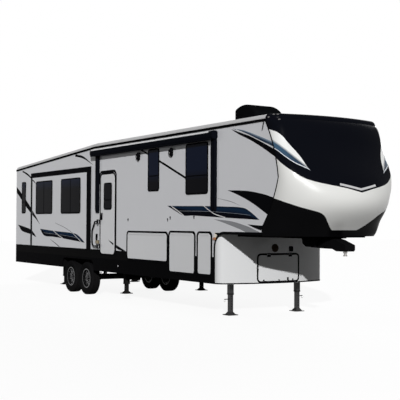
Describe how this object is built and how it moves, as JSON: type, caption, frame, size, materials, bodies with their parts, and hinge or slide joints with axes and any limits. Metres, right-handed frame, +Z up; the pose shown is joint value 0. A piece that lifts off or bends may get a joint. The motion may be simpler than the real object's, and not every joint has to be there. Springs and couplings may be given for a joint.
{
  "type": "fifth wheel travel trailer",
  "caption": "Tandem-axle fifth wheel trailer with a black and white nose cap, a flush slide room on each side, an awning, baggage doors and front landing legs.",
  "frame": {"origin": "on the ground under the middle of the trailer's overall length, on the body's centre plane", "axes": "+X forward to the nose, +Y to the road side (away from the entry door), +Z up"},
  "size_m": [13.264, 2.6013, 4.0425],
  "materials": {
    "black_steel": "painted satin black",
    "pin_box_paint": "painted semi-gloss black",
    "bare_steel": "machined and greased",
    "belly_sheet": "matte black sheet",
    "floor_board": "plain board",
    "black_underside": "matte black",
    "grey_wall": "smooth gelcoat with painted stripes",
    "slide_panel": "smooth gelcoat with painted stripes",
    "door_panel": "smooth gelcoat",
    "roof_skin": "matte pale membrane",
    "black_trim": "satin black",
    "cap_gelcoat": "gloss pearl white and black",
    "nose_gelcoat": "gloss white",
    "black_skirt": "satin black sheet",
    "dark_glass": "dark tinted, glossy",
    "black_tube": "satin black tube",
    "awning_black": "satin black",
    "shroud_black": "moulded black plastic",
    "vent_white": "moulded white plastic",
    "spring_steel": "painted black",
    "red_lens": "clear red lens",
    "amber_lens": "clear amber lens",
    "black_pipe": "matte black tube",
    "tyre_rubber": "black rubber",
    "alloy_wheel": "dark alloy with machined edges"
  },
  "bodies": {
    "chassis": {"air_conditioner": "shroud_black", "awning_arms": "awning_black", "awning_housing": "awning_black", "axles": "black_steel", "baggage_frames": "black_trim", "bay_floor": "floor_board", "curb_wall": "grey_wall", "drip_rails": "black_trim", "entry_door_frame": "black_trim", "fixed_glass": "dark_glass", "frame_rails": "black_steel", "front_cap": "cap_gelcoat", "grab_brackets": "black_trim", "king_pin": "bare_steel", "ladder": "black_tube", "landing_legs": "black_steel", "leaf_springs": "spring_steel", "lower_nose": "nose_gelcoat", "main_floor": "floor_board", "marker_lamps": "amber_lens", "pin_box": "pin_box_paint", "rear_bumper": "black_steel", "rear_wall": "grey_wall", "road_wall": "grey_wall", "roof": "roof_skin", "roof_vents": "vent_white", "skirts": "black_skirt", "stabilizer_jacks": "black_steel", "tail_lamps": "red_lens", "underbelly": "belly_sheet", "upper_deck": "black_underside", "upper_frame": "black_steel", "wall_lamps": "black_trim", "waste_pipe": "black_pipe", "wheel_wells": "black_underside"},
    "curb_slide": {"curb_slide_room": "slide_panel", "curb_slide_trim": "black_trim", "curb_slide_glass": "dark_glass"},
    "road_slide": {"road_slide_room": "slide_panel", "road_slide_trim": "black_trim", "road_slide_glass": "dark_glass"},
    "entry_door": {"entry_door": "door_panel", "entry_door_glass": "dark_glass"},
    "grab_handle": {"grab_handle": "black_tube"},
    "baggage_door_rear": {"baggage_door_rear": "door_panel"},
    "baggage_door_middle": {"baggage_door_middle": "door_panel"},
    "baggage_door_front": {"baggage_door_front": "door_panel"},
    "road_baggage_door": {"road_baggage_door": "door_panel"},
    "nose_hatch": {"nose_hatch": "nose_gelcoat"},
    "wheel_curb_rear": {"tyre_curb_rear": "tyre_rubber", "rim_curb_rear": "alloy_wheel"},
    "wheel_curb_front": {"tyre_curb_front": "tyre_rubber", "rim_curb_front": "alloy_wheel"},
    "wheel_road_rear": {"tyre_road_rear": "tyre_rubber", "rim_road_rear": "alloy_wheel"},
    "wheel_road_front": {"tyre_road_front": "tyre_rubber", "rim_road_front": "alloy_wheel"}
  },
  "joints": [
    {"name": "entry_door_hinge", "type": "hinge", "parent": "chassis", "child": "entry_door", "pos_m": [-0.186, -1.2323, 1.9], "axis": [0, 0, 1], "range_deg": [0, 150]},
    {"name": "grab_handle_hinge", "type": "hinge", "parent": "chassis", "child": "grab_handle", "pos_m": [-0.982, -1.28, 1.6], "axis": [0, 0, 1], "range_deg": [0, 90]},
    {"name": "baggage_door_rear_hinge", "type": "hinge", "parent": "chassis", "child": "baggage_door_rear", "pos_m": [1.3175, -1.2323, 1.509], "axis": [-1, 0, 0], "range_deg": [0, 170]},
    {"name": "baggage_door_middle_hinge", "type": "hinge", "parent": "chassis", "child": "baggage_door_middle", "pos_m": [2.77, -1.2323, 1.529], "axis": [-1, 0, 0], "range_deg": [0, 170]},
    {"name": "baggage_door_front_hinge", "type": "hinge", "parent": "chassis", "child": "baggage_door_front", "pos_m": [3.6115, -1.2323, 1.529], "axis": [-1, 0, 0], "range_deg": [0, 170]},
    {"name": "road_baggage_door_hinge", "type": "hinge", "parent": "chassis", "child": "road_baggage_door", "pos_m": [2.77, 1.2323, 1.529], "axis": [1, 0, 0], "range_deg": [0, 170]},
    {"name": "nose_hatch_hinge", "type": "hinge", "parent": "chassis", "child": "nose_hatch", "pos_m": [4.348, 0, 1.144], "axis": [0, -1, 0], "range_deg": [0, 90]},
    {"name": "curb_slide_travel", "type": "slide", "parent": "chassis", "child": "curb_slide", "axis": [0, -1, 0], "range_m": [0, 0.76]},
    {"name": "wheel_curb_rear_spin", "type": "hinge", "parent": "chassis", "child": "wheel_curb_rear", "pos_m": [-2.685, -1.094, 0.39], "axis": [0, 1, 0], "continuous": true},
    {"name": "wheel_curb_front_spin", "type": "hinge", "parent": "chassis", "child": "wheel_curb_front", "pos_m": [-1.772, -1.094, 0.39], "axis": [0, 1, 0], "continuous": true},
    {"name": "road_slide_travel", "type": "slide", "parent": "chassis", "child": "road_slide", "axis": [0, 1, 0], "range_m": [0, 0.76]},
    {"name": "wheel_road_rear_spin", "type": "hinge", "parent": "chassis", "child": "wheel_road_rear", "pos_m": [-2.685, 1.094, 0.39], "axis": [0, 1, 0], "continuous": true},
    {"name": "wheel_road_front_spin", "type": "hinge", "parent": "chassis", "child": "wheel_road_front", "pos_m": [-1.772, 1.094, 0.39], "axis": [0, 1, 0], "continuous": true}
  ]
}
